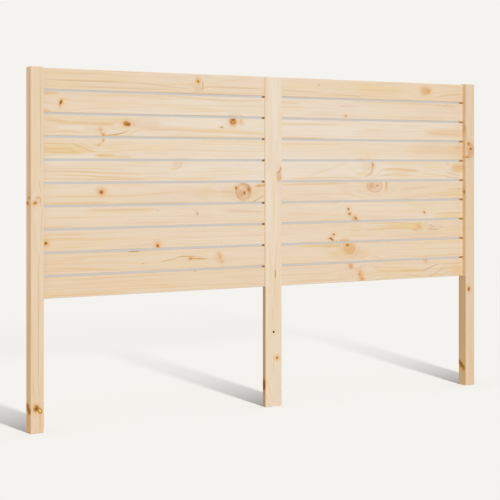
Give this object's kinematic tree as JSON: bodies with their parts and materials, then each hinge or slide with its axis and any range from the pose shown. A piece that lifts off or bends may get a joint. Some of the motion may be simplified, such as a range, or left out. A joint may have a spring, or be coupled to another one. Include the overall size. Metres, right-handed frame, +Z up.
{
  "type": "slatted headboard",
  "caption": "Free-standing slatted pine headboard for a double bed: square side posts, a flat middle post and full-width horizontal slats with narrow gaps.",
  "frame": {"origin": "on the floor, midway between the side posts and midway in their depth", "axes": "+X along the width, to the right as seen from the bed, -Y is the front towards the bed, +Z up"},
  "size_m": [1.555, 0.036, 1],
  "materials": {
    "post_pine": "planed and sanded, unfinished pine with small knots",
    "slat_pine": "planed and sanded, unfinished pine with knots and long grain lines",
    "batten_pine": "planed, unfinished pine",
    "dowel_beech": "turned hardwood",
    "screw_steel": "yellow zinc plated steel"
  },
  "bodies": {
    "root": {"left_post": "post_pine", "right_post": "post_pine", "middle_post": "post_pine", "slat_01": "slat_pine", "slat_02": "slat_pine", "slat_03": "slat_pine", "slat_04": "slat_pine", "slat_05": "slat_pine", "slat_06": "slat_pine", "slat_07": "slat_pine", "slat_08": "slat_pine", "slat_09": "slat_pine", "slat_10": "slat_pine", "rear_batten": "batten_pine", "left_dowels": "dowel_beech", "right_dowels": "dowel_beech", "batten_screws": "screw_steel"}
  },
  "joints": []
}
